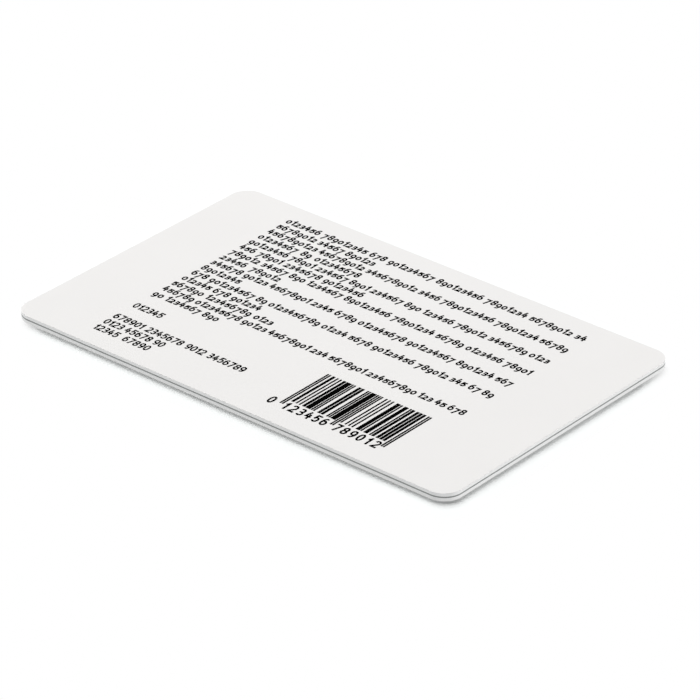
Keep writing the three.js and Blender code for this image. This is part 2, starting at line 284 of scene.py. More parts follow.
def sheet_surface(outline: Outline, profile: Profile) -> Surface:
    """A closed sheet: the edge profile carried round the outline, with a grid over each face.

    Args:
        outline: the sheet's outline.
        profile: pairs of inset and height, from the lower face's edge to the upper face's edge.

    Returns:
        The closed surface.
    """
    lower = with_height(outline.face_grid(profile[0][0]), profile[0][1])
    upper = with_height(outline.face_grid(profile[-1][0]), profile[-1][1])
    rings = [with_height(outline.rim(inset), height) for inset, height in profile[1:-1]]
    rim = outline.rim_numbers()
    count = lower[..., 0].size
    lower_numbers = np.arange(count).reshape(lower.shape[:2])
    ring_numbers = 2 * count + np.arange(len(rings) * len(rim)).reshape(len(rings), -1)
    wall = np.concatenate([rim[None], ring_numbers, rim[None] + count])
    wall = np.concatenate([wall, wall[:, :1]], axis=1)
    points = np.concatenate([part.reshape(-1, 3) for part in [lower, upper, *rings]])
    faces = [grid_faces(lower_numbers)[:, ::-1], grid_faces(lower_numbers) + count, grid_faces(wall)]
    return Surface(points, faces)


def face_rings(outer: Array, window: Outline, shares: Array, height: float) -> Array:
    """Rings over a face with a window.

    A point lies at (1 - t) outer + t inner, where inner is the window's outline on the ray to its centre.

    Args:
        outer: points round the face's outer edge, as x and y.
        window: the window's outline.
        shares: t for each ring.
        height: the face's height.

    Returns:
        An array of rings, points and x, y, z.
    """
    offset = outer - window.centre
    direction = offset / np.linalg.norm(offset, axis=1, keepdims=True)
    inner = window.centre + direction * window.reach(direction)[:, None]
    share = shares[:, None, None]
    return with_height((1 - share) * outer + share * inner, height)


def windowed_surface(outline: Outline, profile: Profile, window: Outline, steps: int) -> Surface:
    """A closed sheet with a window: one section carried round both outlines, closed in both directions.

    The section goes up the outer edge, in over the upper face, down the window's wall and out under the lower
    face.

    Args:
        outline: the sheet's outline.
        profile: pairs of inset and height of the outer edge, from the lower face to the upper face.
        window: the window's outline.
        steps: steps across each face.

    Returns:
        The closed surface.
    """
    shares = np.linspace(0.0, 1.0, steps + 1)
    edge = np.stack([with_height(outline.rim(inset), height) for inset, height in profile])
    over = face_rings(outline.rim(profile[-1][0]), window, shares[1:], profile[-1][1])
    under = face_rings(outline.rim(profile[0][0]), window, shares[:0:-1], profile[0][1])
    rings = np.concatenate([edge, over, under])
    numbers = np.arange(rings[..., 0].size).reshape(rings.shape[:2])
    numbers = np.pad(numbers, ((0, 1), (0, 1)), mode="wrap")
    return Surface(rings.reshape(-1, 3), [grid_faces(numbers)])


class NodeBench:
    """Sets up and links the nodes of one node tree."""

    def __init__(self, tree: bpy.types.NodeTree) -> None:
        """Starts on a tree, as it is."""
        self.nodes = tree.nodes
        self.links = tree.links

    def add(self, kind: str, inputs: dict[str | int, object], **settings: object) -> bpy.types.Node:
        """Adds a node.

        Args:
            kind: the node's type.
            inputs: values by socket name or number. An output socket is linked, any other value is set.
            settings: the node's own properties.

        Returns:
            The node.
        """
        node = self.nodes.new(kind)
        for name, value in settings.items():
            setattr(node, name, value)
        for name, value in inputs.items():
            if isinstance(value, Socket):
                self.links.new(value, node.inputs[name])
            else:
                node.inputs[name].default_value = value
        return node

    def number(self, operation: str, *inputs: object) -> Socket:
        """Arithmetic on numbers, given in order."""
        return self.add("ShaderNodeMath", dict(enumerate(inputs)), operation=operation).outputs["Value"]

    def seen_directly(self) -> Socket:
        """Tells the rays that show a surface from those that only carry its light.

        Returns:
            A socket that is 1 for camera, glossy and transmission rays, and 0 for the rest.
        """
        path = self.nodes.new("ShaderNodeLightPath")
        shiny = self.number("MAXIMUM", path.outputs["Is Glossy Ray"], path.outputs["Is Transmission Ray"])
        return self.number("MAXIMUM", path.outputs["Is Camera Ray"], shiny)


class MaterialBench(NodeBench):
    """A material in the making, with patterns that read the object's own coordinates."""

    def __init__(self, name: str) -> None:
        """Starts a material with nothing but its output and its coordinates.

        Args:
            name: the material's name.
        """
        self.material = bpy.data.materials.new(name)
        self.material.use_nodes = True
        super().__init__(self.material.node_tree)
        self.nodes.clear()
        self.output = self.nodes.new("ShaderNodeOutputMaterial")
        self.place = self.nodes.new("ShaderNodeTexCoord").outputs["Object"]

    def noise(self, grain: Grain, detail: float) -> Socket:
        """Cloudy noise from 0 to 1.

        Args:
            grain: size of the clouds along X, Y and Z.
            detail: how many finer layers are added.

        Returns:
            The noise.
        """
        scale = tuple(1.0 / size for size in grain)
        mapping = self.add("ShaderNodeMapping", {"Vector": self.place, "Scale": scale})
        inputs = {"Vector": mapping.outputs["Vector"], "Scale": 1.0, "Detail": detail}
        return self.add("ShaderNodeTexNoise", inputs).outputs["Fac"]

    def spread(self, noise: Socket, low: float, high: float) -> Socket:
        """Noise as a number between two limits, with its middle half stretched over the range."""
        inputs = dict(enumerate((noise, *NOISE_RANGE, low, high)))
        return self.add("ShaderNodeMapRange", inputs).outputs["Result"]

    def between(self, noise: Socket, low: Colour, high: Colour) -> Socket:
        """A colour between two others, by noise."""
        inputs = {"Factor": self.spread(noise, 0.0, 1.0), MIX_LOW: opaque(low), MIX_HIGH: opaque(high)}
        return self.add("ShaderNodeMix", inputs, data_type="RGBA").outputs[MIX_RESULT]

    def bump(self, noise: Socket, depth: float) -> Socket:
        """Surface relief of a real depth, by noise."""
        inputs = {"Height": noise, "Distance": depth, "Strength": 1.0}
        return self.add("ShaderNodeBump", inputs).outputs["Normal"]

    def vector(self, operation: str, *inputs: object) -> bpy.types.Node:
        """Arithmetic on vectors, given in order."""
        return self.add("ShaderNodeVectorMath", dict(enumerate(inputs)), operation=operation)

    def rise(self, value: Socket, start: float, end: float) -> Socket:
        """A smooth rise from 0 at the start to 1 at the end."""
        inputs = {"Value": value, "From Min": start, "From Max": end}
        return self.add("ShaderNodeMapRange", inputs, interpolation_type="SMOOTHSTEP").outputs["Result"]

    def mixed(self, share: Socket, first: Socket, second: Socket) -> Socket:
        """Two shaders as one, with a share of the second."""
        return self.add("ShaderNodeMixShader", {0: share, 1: first, 2: second}).outputs["Shader"]

    def close(self, shader: Socket) -> bpy.types.Material:
        """Puts the shader on the surface, and gives the material."""
        self.links.new(shader, self.output.inputs["Surface"])
        return self.material


@dataclass(frozen=True, kw_only=True)
class Finish:
    """A finish whose colour, roughness and relief follow a pattern of noise.

    Attributes:
        name: the finish's name.
        low: its colour where the pattern is low.
        high: its colour where the pattern is high.
        roughness: its roughness in those two places.
        relief: depth of the pattern.
        grain: size of the pattern along X, Y and Z.
        detail: how many finer layers the pattern has.
        gloss: specular level.
        metallic: 1 for metal and 0 for anything else.
    """

    name: str
    low: Colour
    high: Colour
    roughness: tuple[float, float]
    relief: float
    grain: Grain
    detail: float = 2.0
    gloss: float = 0.5
    metallic: float = 0.0

    def tint(self, bench: MaterialBench, texture: Socket) -> Socket:
        """The pattern of the colour: that of the roughness and the relief, unless a finish has its own."""
        return texture

    def material(self) -> bpy.types.Material:
        """Makes the material: a principled shader that the pattern varies.

        Returns:
            The material.
        """
        bench = MaterialBench(self.name)
        texture = bench.noise(self.grain, self.detail)
        inputs = {
            "Base Color": bench.between(self.tint(bench, texture), self.low, self.high),
            "Roughness": bench.spread(texture, *self.roughness),
            "Specular IOR Level": self.gloss,
            "Metallic": self.metallic,
            "Normal": bench.bump(texture, self.relief),
        }
        return bench.close(bench.add("ShaderNodeBsdfPrincipled", inputs).outputs["BSDF"])


@dataclass(frozen=True, kw_only=True)
class SatinFilm(Finish):
    """The satin overlay film on the card's two faces, over white PVC. Its grain is the press plate's texture.

    Attributes:
        clouds: size of the faint clouds of its colour.
        cloud_detail: how many finer layers they have.
    """

    name: str = "satin_film"
    low: Colour = (0.843, 0.832, 0.821)
    high: Colour = (0.856, 0.845, 0.834)
    roughness: tuple[float, float] = (0.5, 0.6)
    relief: float = 0.6 * MICRON
    grain: Grain = even(0.18 * MM)
    detail: float = 1.0
    gloss: float = 0.3
    clouds: Grain = even(14.0 * MM)
    cloud_detail: float = 3.0

    def tint(self, bench: MaterialBench, texture: Socket) -> Socket:
        """The pattern of the colour: the clouds, which are far larger than the grain."""
        return bench.noise(self.clouds, self.cloud_detail)


@dataclass(frozen=True, kw_only=True)
class CutPvc(Finish):
    """White PVC where the cutting die has sheared it. Its grain is the die's upright drag lines."""

    name: str = "cut_pvc"
    low: Colour = (0.823, 0.829, 0.826)
    high: Colour = (0.857, 0.864, 0.860)
    roughness: tuple[float, float] = (0.55, 0.7)
    relief: float = 2.0 * MICRON
    grain: Grain = (0.12 * MM, 0.12 * MM, 2.0 * MM)
    gloss: float = 0.3


@dataclass(frozen=True, kw_only=True)
class SeamFilm(Finish):
    """Clear film or adhesive between white sheets: dark at the cut edge, with paler smears along it."""

    roughness: tuple[float, float] = (0.35, 0.55)
    relief: float = 1.5 * MICRON
    grain: Grain = (1.5 * MM, 1.5 * MM, 0.05 * MM)
    detail: float = 3.0
    gloss: float = 0.3


@dataclass(frozen=True, kw_only=True)
class Metal(Finish):
    """Thin metal, rolled along X, which is dull in streaks."""

    relief: float = 0.5 * MICRON
    grain: Grain = (1.2 * MM, 0.04 * MM, 0.04 * MM)
    detail: float = 3.0
    metallic: float = 1.0


@dataclass
class CardSheets:
    """The white sheets and films of the card, rebuilt with smooth corners and eased edges.

    Attributes:
        corner_radius: radius of the card's corners.
        outer_ease: rounding of the card's two outer edges.
        joint_ease: rounding where two white sheets meet.
        seam_ease: rounding where a core sheet meets the seam.
        ease_steps: steps in each rounding.
        shoulder: flat ledge inside each rounding, which keeps the faces flat up to the edges.
        window_clearance: room in the core's window round the chip module.
        window_radius: corner radius of that window.
        window_steps: steps across the core's faces, from the edge to the window.
        film: finish of the faces.
        pvc: finish of the white sheets.
    """

    corner_radius: float = 3.18 * MM
    outer_ease: float = 0.04 * MM
    joint_ease: float = 0.002 * MM
    seam_ease: float = 0.05 * MM
    ease_steps: int = 5
    shoulder: float = 0.05 * MM
    window_clearance: float = 0.2 * MM
    window_radius: float = 0.7 * MM
    window_steps: int = 24
    film: SatinFilm = SatinFilm()
    pvc: CutPvc = CutPvc()

    def outline(self, node: str) -> Outline:
        """The outline of a CAD sheet, with the card's corners."""
        low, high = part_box(node)
        return Outline(high.x - low.x, high.y - low.y, self.corner_radius)

    def window(self) -> Outline:
        """Finds the window in the back core sheet.

        Returns:
            The box of the chip module and its clearance, as an outline.
        """
        low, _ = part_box("lead_frame_die_half")
        _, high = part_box("lead_frame_wire_half")
        extra = 2 * self.window_clearance
        size = high - low
        middle = (low + high) / 2
        return Outline(size.x + extra, size.y + extra, self.window_radius, (middle.x, middle.y))

    def sheet(self, node: str, low_ease: float, high_ease: float) -> Surface:
        """A CAD sheet with eased edges. The back core has its window.

        The profile has a quarter circle at each edge: the inset is ease (1 - cos(angle)), and the height
        differs from the face's by ease (1 - sin(angle)). A flat shoulder lies inside it.

        Args:
            node: the sheet.
            low_ease: radius at the lower edge.
            high_ease: radius at the upper edge.

        Returns:
            The closed surface.
        """
        low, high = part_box(node)
        angle = np.linspace(0.0, math.pi / 2, self.ease_steps + 1)
        lower = np.stack([low_ease * (1 - np.sin(angle)), low.z + low_ease * (1 - np.cos(angle))], axis=1)
        upper = np.stack([high_ease * (1 - np.cos(angle)), high.z - high_ease * (1 - np.sin(angle))], axis=1)
        curve = [tuple(pair) for pair in np.concatenate([lower, upper])]
        profile = [(low_ease + self.shoulder, low.z), *curve, (high_ease + self.shoulder, high.z)]
        if node == "back_core_sheet":
            return windowed_surface(self.outline(node), profile, self.window(), self.window_steps)
        return sheet_surface(self.outline(node), profile)

    def build(self) -> list[Piece]:
        """Makes every white sheet and both overlay films, each in the place of its CAD node.

        Returns:
            The new pieces, from the underside up.
        """
        film = (self.film.material(), Slot.OVERLAY_FILM)
        pvc = (self.pvc.material(), Slot.WHITE_PVC)
        stack = [
            ("front_overlay_film", film, self.outer_ease, self.joint_ease),
            ("front_print_sheet", pvc, self.joint_ease, self.joint_ease),
            ("front_core_sheet", pvc, self.joint_ease, self.seam_ease),
            ("back_core_sheet", pvc, self.seam_ease, self.joint_ease),
            ("back_print_sheet", pvc, self.joint_ease, self.joint_ease),
            ("back_overlay_film", film, self.joint_ease, self.outer_ease),
        ]
        pieces = []
        for node, finish, low_ease, high_ease in stack:
            piece = self.sheet(node, low_ease, high_ease).piece(f"{node}_smooth", *finish)
            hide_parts(node)
            pieces.append(piece)
        return pieces


class FigureStyle(Enum):
    """How the figures stand on their row. Each value lists the figures that rise and those that hang."""

    LINING = ((), ())
    RUNNING = ((1, 4, 6, 8), (7, 9))


@dataclass(frozen=True)
class Pen:
    """The pen that draws the figures.

    Attributes:
        width: width of its strokes.
        loop_steps: steps of a full loop.
    """

    width: float
    loop_steps: int


@dataclass(frozen=True)
class Arc:
    """A round stroke in a figure's box, whose sides run from 0 to 1.

    Attributes:
        centre: middle of the ellipse that the pen follows.
        radii: its half width and half height.
        turn_deg: the angles at which the pen starts and stops.
    """

    centre: tuple[float, float]
    radii: tuple[float, float]
    turn_deg: tuple[float, float] = (0.0, 360.0)

    def sides(self, box: Array, pen: Pen) -> Array:
        """The stroke's right and left side.

        A side lies at the centre plus (radius + or - half the pen) times the angle's cosine and sine.

        Args:
            box: width and height of the box.
            pen: the pen.

        Returns:
            An array of the two sides, points and x, y.
        """
        start, end = np.radians(self.turn_deg)
        steps = math.ceil(pen.loop_steps * abs(end - start) / (2 * math.pi))
        angle = np.linspace(start, end, steps + 1)
        half = math.copysign(pen.width / 2, end - start)
        reach = np.array(self.radii) * box + np.array([half, -half])[:, None, None]
        return np.array(self.centre) * box + reach * np.stack([np.cos(angle), np.sin(angle)], axis=-1)


@dataclass(frozen=True)
class Line:
    """A straight or bent stroke in a figure's box, whose sides run from 0 to 1.

    Attributes:
        corners: the points that the pen passes.
    """

    corners: tuple[tuple[float, float], ...]

    def sides(self, box: Array, pen: Pen) -> Array:
        """The stroke's right and left side, with square ends half a pen past the first and last point.

        At a corner between the normals a and b, a side lies (a + b) / (1 + a . b) times half the pen from it.

        Args:
            box: width and height of the box.
            pen: the pen.

        Returns:
            An array of the two sides, points and x, y.
        """
        half = pen.width / 2
        points = np.array(self.corners) * box
        along = np.diff(points, axis=0)
        along /= np.linalg.norm(along, axis=1, keepdims=True)
        points[0] -= along[0] * half
        points[-1] += along[-1] * half
        normal = np.stack([-along[:, 1], along[:, 0]], axis=-1)
        before = np.concatenate([normal[:1], normal])
        after = np.concatenate([normal, normal[-1:]])
        offset = half * (before + after) / (1 + (before * after).sum(axis=1, keepdims=True))
        return np.stack([points - offset, points + offset])


# The strokes of the figures 0 to 9. Where a stroke joins another, its end lies inside that one.
STROKES: tuple[tuple[Arc | Line, ...], ...] = (
    (Arc((0.5, 0.5), (0.5, 0.5)),),
    (Line(((1.0, 0.0), (1.0, 1.0))), Line(((0.1, 0.78), (0.73, 0.93)))),
    (
        Arc((0.5, 0.71), (0.5, 0.29), (165.0, -40.0)),
        Line(((0.88, 0.52), (0.12, 0.09))),
        Line(((0.0, 0.0), (1.0, 0.0))),
    ),
    (
        Arc((0.47, 0.75), (0.45, 0.25), (150.0, -90.0)),
        Arc((0.5, 0.26), (0.5, 0.26), (90.0, -150.0)),
        Line(((0.35, 0.51), (0.48, 0.51))),
    ),
    (Line(((0.36, 1.0), (0.0, 0.32), (1.0, 0.32))), Line(((0.74, 0.62), (0.74, 0.0)))),
    (Line(((0.92, 1.0), (0.14, 1.0), (0.07, 0.5))), Arc((0.47, 0.33), (0.53, 0.33), (128.0, -150.0))),
    (
        Arc((0.5, 0.315), (0.5, 0.315)),
        Arc((0.56, 0.5), (0.56, 0.5), (62.0, 180.0)),
        Line(((0.0, 0.5), (0.0, 0.43))),
    ),
    (Line(((0.0, 1.0), (0.95, 1.0), (0.3, 0.0))),),
    (Arc((0.5, 0.75), (0.44, 0.25)), Arc((0.5, 0.26), (0.5, 0.26))),
    (
        Arc((0.5, 0.685), (0.5, 0.315)),
        Arc((0.44, 0.5), (0.56, 0.5), (242.0, 360.0)),
        Line(((1.0, 0.5), (1.0, 0.57))),
    ),
)


def fused(bands: list[Array]) -> tuple[Array, list[Array]]:
    """Strokes laid over each other, as one flat shape without overlaps.

    Each stroke is a row of quads between its two sides. All their edges cut the plane into faces, and those
    that lie in a quad stay.

    Args:
        bands: the two sides of each stroke.

    Returns:
        The points as x and y, and the faces' point numbers, anticlockwise, in one array for each number of
        corners.
    """
    counts = [2 * band.shape[1] for band in bands]
    firsts = np.cumsum([0] + counts)
    quads = [grid_faces(first + np.arange(count).reshape(2, -1)) for count, first in zip(counts, firsts)]
    corners = np.concatenate([band.reshape(-1, 2) for band in bands]) / MM
    points, _, faces, _, _, owners = delaunay_2d_cdt(
        corners.tolist(), [], np.concatenate(quads).tolist(), WHOLE_FACES, MERGE_MM
    )
    inside = [face for face, quad in zip(faces, owners) if quad]
    used = np.unique(np.concatenate(inside))
    sizes = sorted({len(face) for face in inside})
    groups = [np.array([face for face in inside if len(face) == size]) for size in sizes]
    return np.array(points)[used] * MM, [np.searchsorted(used, group) for group in groups]


def slab(flat: Array, faces: list[Array]) -> Surface:
    """A flat shape made solid from height 0 to 1, with a wall at each edge that only one face has.

    Args:
        flat: points as x and y.
        faces: point numbers of the faces, anticlockwise.

    Returns:
        The closed surface.
    """
    count = len(flat)
    rounds = [np.stack([face, np.roll(face, -1, axis=1)], axis=-1) for face in faces]
    edges = np.concatenate([each.reshape(-1, 2) for each in rounds])
    rim = edges[~np.isin(edges @ [count, 1], edges @ [1, count])]
    walls = np.concatenate([rim, rim[:, ::-1] + count], axis=1)
    points = np.concatenate([with_height(flat, 0.0), with_height(flat, 1.0)])
    return Surface(points, [*(face[:, ::-1] for face in faces), *(face + count for face in faces), walls])


@dataclass(frozen=True)
class FigureSet:
    """The ten figures as flat closed shapes.

    Attributes:
        style: how the figures stand.
        small: height of the figures that neither rise nor hang.
        tall: height of those that do.
        width: width of a figure.
        pen: the pen that draws them.
        narrow: width of the figure 1, as a share of the others' width.
    """

    style: FigureStyle
    small: float
    tall: float
    width: float
    pen: Pen
    narrow: float = 0.6

    @cached_property
    def shapes(self) -> list[Surface]:
        """Each figure, one unit thick, with its middle at x = 0 and its row's foot at y = 0."""
        return [self.draw(digit) for digit in range(len(STROKES))]

    def draw(self, digit: int) -> Surface:
        """Draws one figure: its strokes, laid over each other and fused.

        Args:
            digit: the figure, from 0 to 9.

        Returns:
            Its closed shape.
        """
        rising, hanging = self.style.value
        height = self.tall if digit in rising + hanging else self.small
        foot = self.small - self.tall if digit in hanging else 0.0
        width = self.width * (self.narrow if digit == 1 else 1.0)
        box = np.array([width, height]) - self.pen.width
        flat, faces = fused([stroke.sides(box, self.pen) for stroke in STROKES[digit]])
        return slab(flat + [-box[0] / 2, self.pen.width / 2 + foot], faces)

    def widths(self) -> Array:
        """The width of each figure."""
        return np.array([np.ptp(shape.points[:, 0]) for shape in self.shapes])

    def stamp(self, digits: Array, places: Array) -> Surface:
        """Sets many figures at once: each one's shape, moved to its place.

        Args:
            digits: the figures, from 0 to 9.
            places: x and y of the middle of each figure's foot.

        Returns:
            All the figures as one surface, one unit thick.
        """
        parts = []
        for digit in np.unique(digits):
            shape = self.shapes[digit]
            spots = with_height(places[digits == digit], 0.0)
            points = shape.points + spots[:, None]
            firsts = len(shape.points) * np.arange(len(spots))[:, None, None]
            faces = [(face + firsts).reshape(-1, face.shape[1]) for face in shape.faces]
            parts.append(Surface(points.reshape(-1, 3), faces))
        return Surface.joined(parts)


@dataclass(frozen=True)
class PrintedRows:
    """Rows of plain counting figures, set in groups of uneven length.

    Attributes:
        figures: the set of figures.
        left: x of the left margin.
        first_row: y of the first row's foot.
        pitch: distance between rows.
        lengths: length of each row, from the top down. An empty row has none.
        gap: space between two figures.
        space: least space between two groups.
        group: least and greatest number of figures in a group.
        seed: start of the random groups.
    """

    figures: FigureSet
    left: float
    first_row: float
    pitch: float
    lengths: tuple[float, ...]
    gap: float = 0.10 * MM
    space: float = 0.48 * MM
    group: tuple[int, int] = (2, 10)
    seed: int = 5

    def set_row(
        self, first: int, length: float, widths: Array, random: np.random.Generator
    ) -> tuple[Array, Array]:
        """Sets one row of groups that count on from a first figure.

        The middle of a figure lies at the sum of the widths and gaps before it, plus half its own width, plus
        the extra room of the spaces so far. The row ends with the last figure that fits, and its spaces share
        what is left of the length.

        Args:
            first: the row's first figure.
            length: the row's length.
            widths: the width of each of the ten figures.
            random: source of the groups' sizes.

        Returns:
            The figures, and the x of each from the left margin.
        """
        most = math.ceil(length / (self.group[0] * (widths.min() + self.gap)))
        sizes = random.integers(self.group[0], self.group[1] + 1, most)
        number = np.repeat(np.arange(most), sizes)
        digits = (first + np.arange(len(number))) % len(STROKES)
        end = np.cumsum(widths[digits] + self.gap) - self.gap + number * (self.space - self.gap)
        count = int((end <= length).sum())
        spare = (length - end[count - 1]) / max(number[count - 1], 1)
        middle = end - widths[digits] / 2 + number * spare
        return digits[:count], middle[:count]

    def surface(self) -> Surface:
        """Sets every row, with figures that count on from row to row.

        Returns:
            All rows as one surface, one unit thick.
        """
        random = np.random.default_rng(self.seed)
        widths = self.figures.widths()
        digits, places = [], []
        first = 0
        for number, length in enumerate(self.lengths):
            if not length:
                continue
            row_digits, x = self.set_row(first, length, widths, random)
            first += len(row_digits)
            digits.append(row_digits)
            y = np.full(len(x), self.first_row - number * self.pitch)
            places.append(np.stack([self.left + x, y], axis=1))
        return self.figures.stamp(np.concatenate(digits), np.concatenate(places))


@dataclass(frozen=True)
class Barcode:
    """A bar code of plain counting figures, with the figures below it.

    Attributes:
        left: x of the first bar.
        module: width of the narrowest bar.
        top: y of the bars' upper end.
        foot: y of the lower end of the bars over figures.
        guard_foot: y of the lower end of the guard bars.
        figures: the set of figures below the bars.
        figure_foot: y of the figures' foot.
        first_figure: x of the figure that stands before the bars.
        spread: how far the ink has spread past each side of a bar.
        corner: rounding of the bars' corners by the ink.
        digits: the figures that the bars stand for.
    """

    left: float = 6.8 * MM
    module: float = 0.2105 * MM
    top: float = -10.8 * MM
    foot: float = -20.5 * MM
    guard_foot: float = -21.9 * MM
    figures: FigureSet = FigureSet(
        style=FigureStyle.LINING,
        small=2.1 * MM,
        tall=2.1 * MM,
        width=1.12 * MM,
        pen=Pen(width=0.37 * MM, loop_steps=24),
    )
    figure_foot: float = -23.0 * MM
    first_figure: float = 5.4 * MM
    spread: float = 0.048 * MM
    corner: float = 0.02 * MM
    digits: str = "0123456789012"

    def modules(self) -> Array:
        """The code's modules: guards round two halves, of which the right one has dark and light exchanged.

        Returns:
            1 for each dark module and 0 for each light one, from the left.
        """
        codes = "".join(LEFT_CODES[int(digit)] for digit in self.digits[1:])
        middle = len(codes) // 2
        exchanged = codes[middle:].translate(str.maketrans("01", "10"))
        marks = SIDE_GUARD + codes[:middle] + MIDDLE_GUARD + exchanged + SIDE_GUARD
        return np.array([int(mark) for mark in marks])

    def bars(self) -> Surface:
        """The bars: each run of dark modules as a slab with eight corners.

        Returns:
            All bars as one surface, one unit thick.
        """
        dark = self.modules()
        change = np.diff(np.concatenate([[0], dark, [0]]))
        first = np.flatnonzero(change > 0)
        last = np.flatnonzero(change < 0)
        from_end = np.minimum(first, len(dark) - 1 - first)
        guard = (from_end < len(SIDE_GUARD)) | (np.abs(first - len(dark) // 2) <= len(MIDDLE_GUARD) // 2)
        left = self.left + first * self.module - self.spread
        right = self.left + last * self.module + self.spread
        foot = np.where(guard, self.guard_foot, self.foot)
        top = np.full(len(first), self.top)
        cut = self.corner
        x = np.stack([left + cut, right - cut, right, right, right - cut, left + cut, left, left], axis=1)
        y = np.stack([foot, foot, foot + cut, top - cut, top, top, top - cut, foot + cut], axis=1)
        flat = np.stack([x, y], axis=-1).reshape(-1, 2)
        return slab(flat, [np.arange(x.size).reshape(x.shape)])

    def numbering(self) -> Surface:
        """The figures below the bars, each in the middle of its own modules.

        Returns:
            All figures as one surface, one unit thick.
        """
        digits = np.array([int(digit) for digit in self.digits])
        number = np.arange(len(digits) - 1)
        guards = len(SIDE_GUARD) + np.where(number >= len(number) // 2, len(MIDDLE_GUARD), 0)
        modules = guards + (number + 0.5) * len(LEFT_CODES[0])
        x = np.concatenate([[self.first_figure], self.left + modules * self.module])
        places = np.stack([x, np.full(len(x), self.figure_foot)], axis=1)
        return self.figures.stamp(digits, places)


@dataclass
class PrintedBack:
    """The black print on the back face.

    Attributes:
        thickness: thickness of the ink.
        rows: the rows of running figures, in paragraphs of a full row and one or two short ones.
        block: the lower rows of lining figures, a short one and, past an empty row, three more.
        barcode: the bar code.
        ink: the ink's finish.
    """

    thickness: float = 0.012 * MM
    rows: PrintedRows = PrintedRows(
        figures=FigureSet(
            style=FigureStyle.RUNNING,
            small=1.26 * MM,
            tall=1.68 * MM,
            width=0.96 * MM,
            pen=Pen(width=0.31 * MM, loop_steps=10),
        ),
        left=-30.0 * MM,
        first_row=21.68 * MM,
        pitch=2.243 * MM,
        lengths=(
            *(FULL_ROW, 20.0 * MM),
            *(FULL_ROW, 20.7 * MM),
            *(FULL_ROW, 25.2 * MM),
            *(FULL_ROW, 12.1 * MM),
            *(FULL_ROW, 8.7 * MM),
            *(FULL_ROW, 16.0 * MM, 20.4 * MM),
            *(FULL_ROW, 13.3 * MM),
        ),
        seed=28,
    )
    block: PrintedRows = PrintedRows(
        figures=FigureSet(
            style=FigureStyle.LINING,
            small=1.64 * MM,
            tall=1.64 * MM,
            width=0.96 * MM,
            pen=Pen(width=0.30 * MM, loop_steps=16),
        ),
        left=-29.75 * MM,
        first_row=-14.45 * MM,
        pitch=2.2 * MM,
        lengths=(6.6 * MM, 0.0, 26.4 * MM, 12.1 * MM, 11.1 * MM),
    )
    barcode: Barcode = Barcode()
    ink: Finish = Finish(
        name="black_ink",
        low=(0.0006, 0.0006, 0.0006),
        high=(0.0016, 0.0016, 0.0016),
        roughness=(0.55, 0.7),
        relief=1.0 * MICRON,
        grain=even(0.08 * MM),
        gloss=0.002,
    )

    def build(self) -> list[Piece]:
        """Prints the rows, the block, the bars and the bars' figures on the back overlay film.

        Returns:
            The new pieces.
        """
        _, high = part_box("back_overlay_film")
        ink = self.ink.material()
        surfaces = {
            "printed_rows": self.rows.surface(),
            "printed_block": self.block.surface(),
            "barcode_bars": self.barcode.bars(),
            "barcode_figures": self.barcode.numbering(),
        }
        layers = {name: surface.lifted(high.z, self.thickness) for name, surface in surfaces.items()}
        return [layer.piece(name, ink, Slot.PRINT_INK) for name, layer in layers.items()]


@dataclass
class Inlay:
    """The film, adhesive, antenna and chip between the core sheets. They keep their CAD solids.

    Attributes:
        film: finish of the inlay film.
        glue: finish of the two adhesive films.
        foil: finish of the antenna.
        plating: finish of the chip module's lead frame.
        gold: finish of the bond wires.
        silicon: finish of the die.
        resin: finish of the moulded cap.
    """

    film: SeamFilm = SeamFilm(name="inlay_film_edge", low=(0.165, 0.173, 0.17), high=(0.245, 0.255, 0.251))
    glue: SeamFilm = SeamFilm(name="adhesive_film_edge", low=(0.27, 0.281, 0.277), high=(0.38, 0.394, 0.389))
    foil: Metal = Metal(
        name="rolled_foil",
        low=(0.62, 0.63, 0.64),
        high=(0.80, 0.81, 0.82),
        roughness=(0.3, 0.45),
    )
    plating: Metal = Metal(
        name="plated_copper",
        low=(0.72, 0.54, 0.28),
        high=(0.85, 0.66, 0.36),
        roughness=(0.18, 0.32),
    )
    gold: Metal = Metal(
        name="drawn_gold",
        low=(0.76, 0.57, 0.2),
        high=(0.88, 0.68, 0.26),
        roughness=(0.15, 0.25),
        grain=(0.05 * MM, 0.01 * MM, 0.01 * MM),
    )
    silicon: Finish = Finish(
        name="polished_silicon",
        low=(0.035, 0.04, 0.055),
        high=(0.05, 0.055, 0.075),
        roughness=(0.12, 0.2),
        relief=0.2 * MICRON,
        grain=even(0.05 * MM),
    )
    resin: Finish = Finish(
        name="moulded_resin",
        low=(0.010, 0.010, 0.011),
        high=(0.028, 0.028, 0.03),
        roughness=(0.6, 0.8),
        relief=2.0 * MICRON,
        grain=even(0.06 * MM),
    )

    def build(self) -> list[Piece]:
        """Gives each CAD solid of the inlay its finish.

        Returns:
            The dressed solids.
        """
        dressed = {
            self.film: ["inlay_film"],
            self.glue: ["front_adhesive_film", "back_adhesive_film"],
            self.foil: ["antenna_coil", "link_pad", "antenna_bridge", "outer_contact", "inner_contact"],
            self.plating: ["lead_frame_die_half", "lead_frame_wire_half"],
            self.gold: ["short_bond_wire", "long_bond_wire"],
            self.silicon: ["chip_die"],
            self.resin: ["chip_mould_cap"],
        }
        solids = []
        for finish, nodes in dressed.items():
            material = finish.material()
            for node in nodes:
                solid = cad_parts[node]
                solid.data.materials.clear()
                solid.data.materials.append(material)
                solids.append(solid)
        return solids


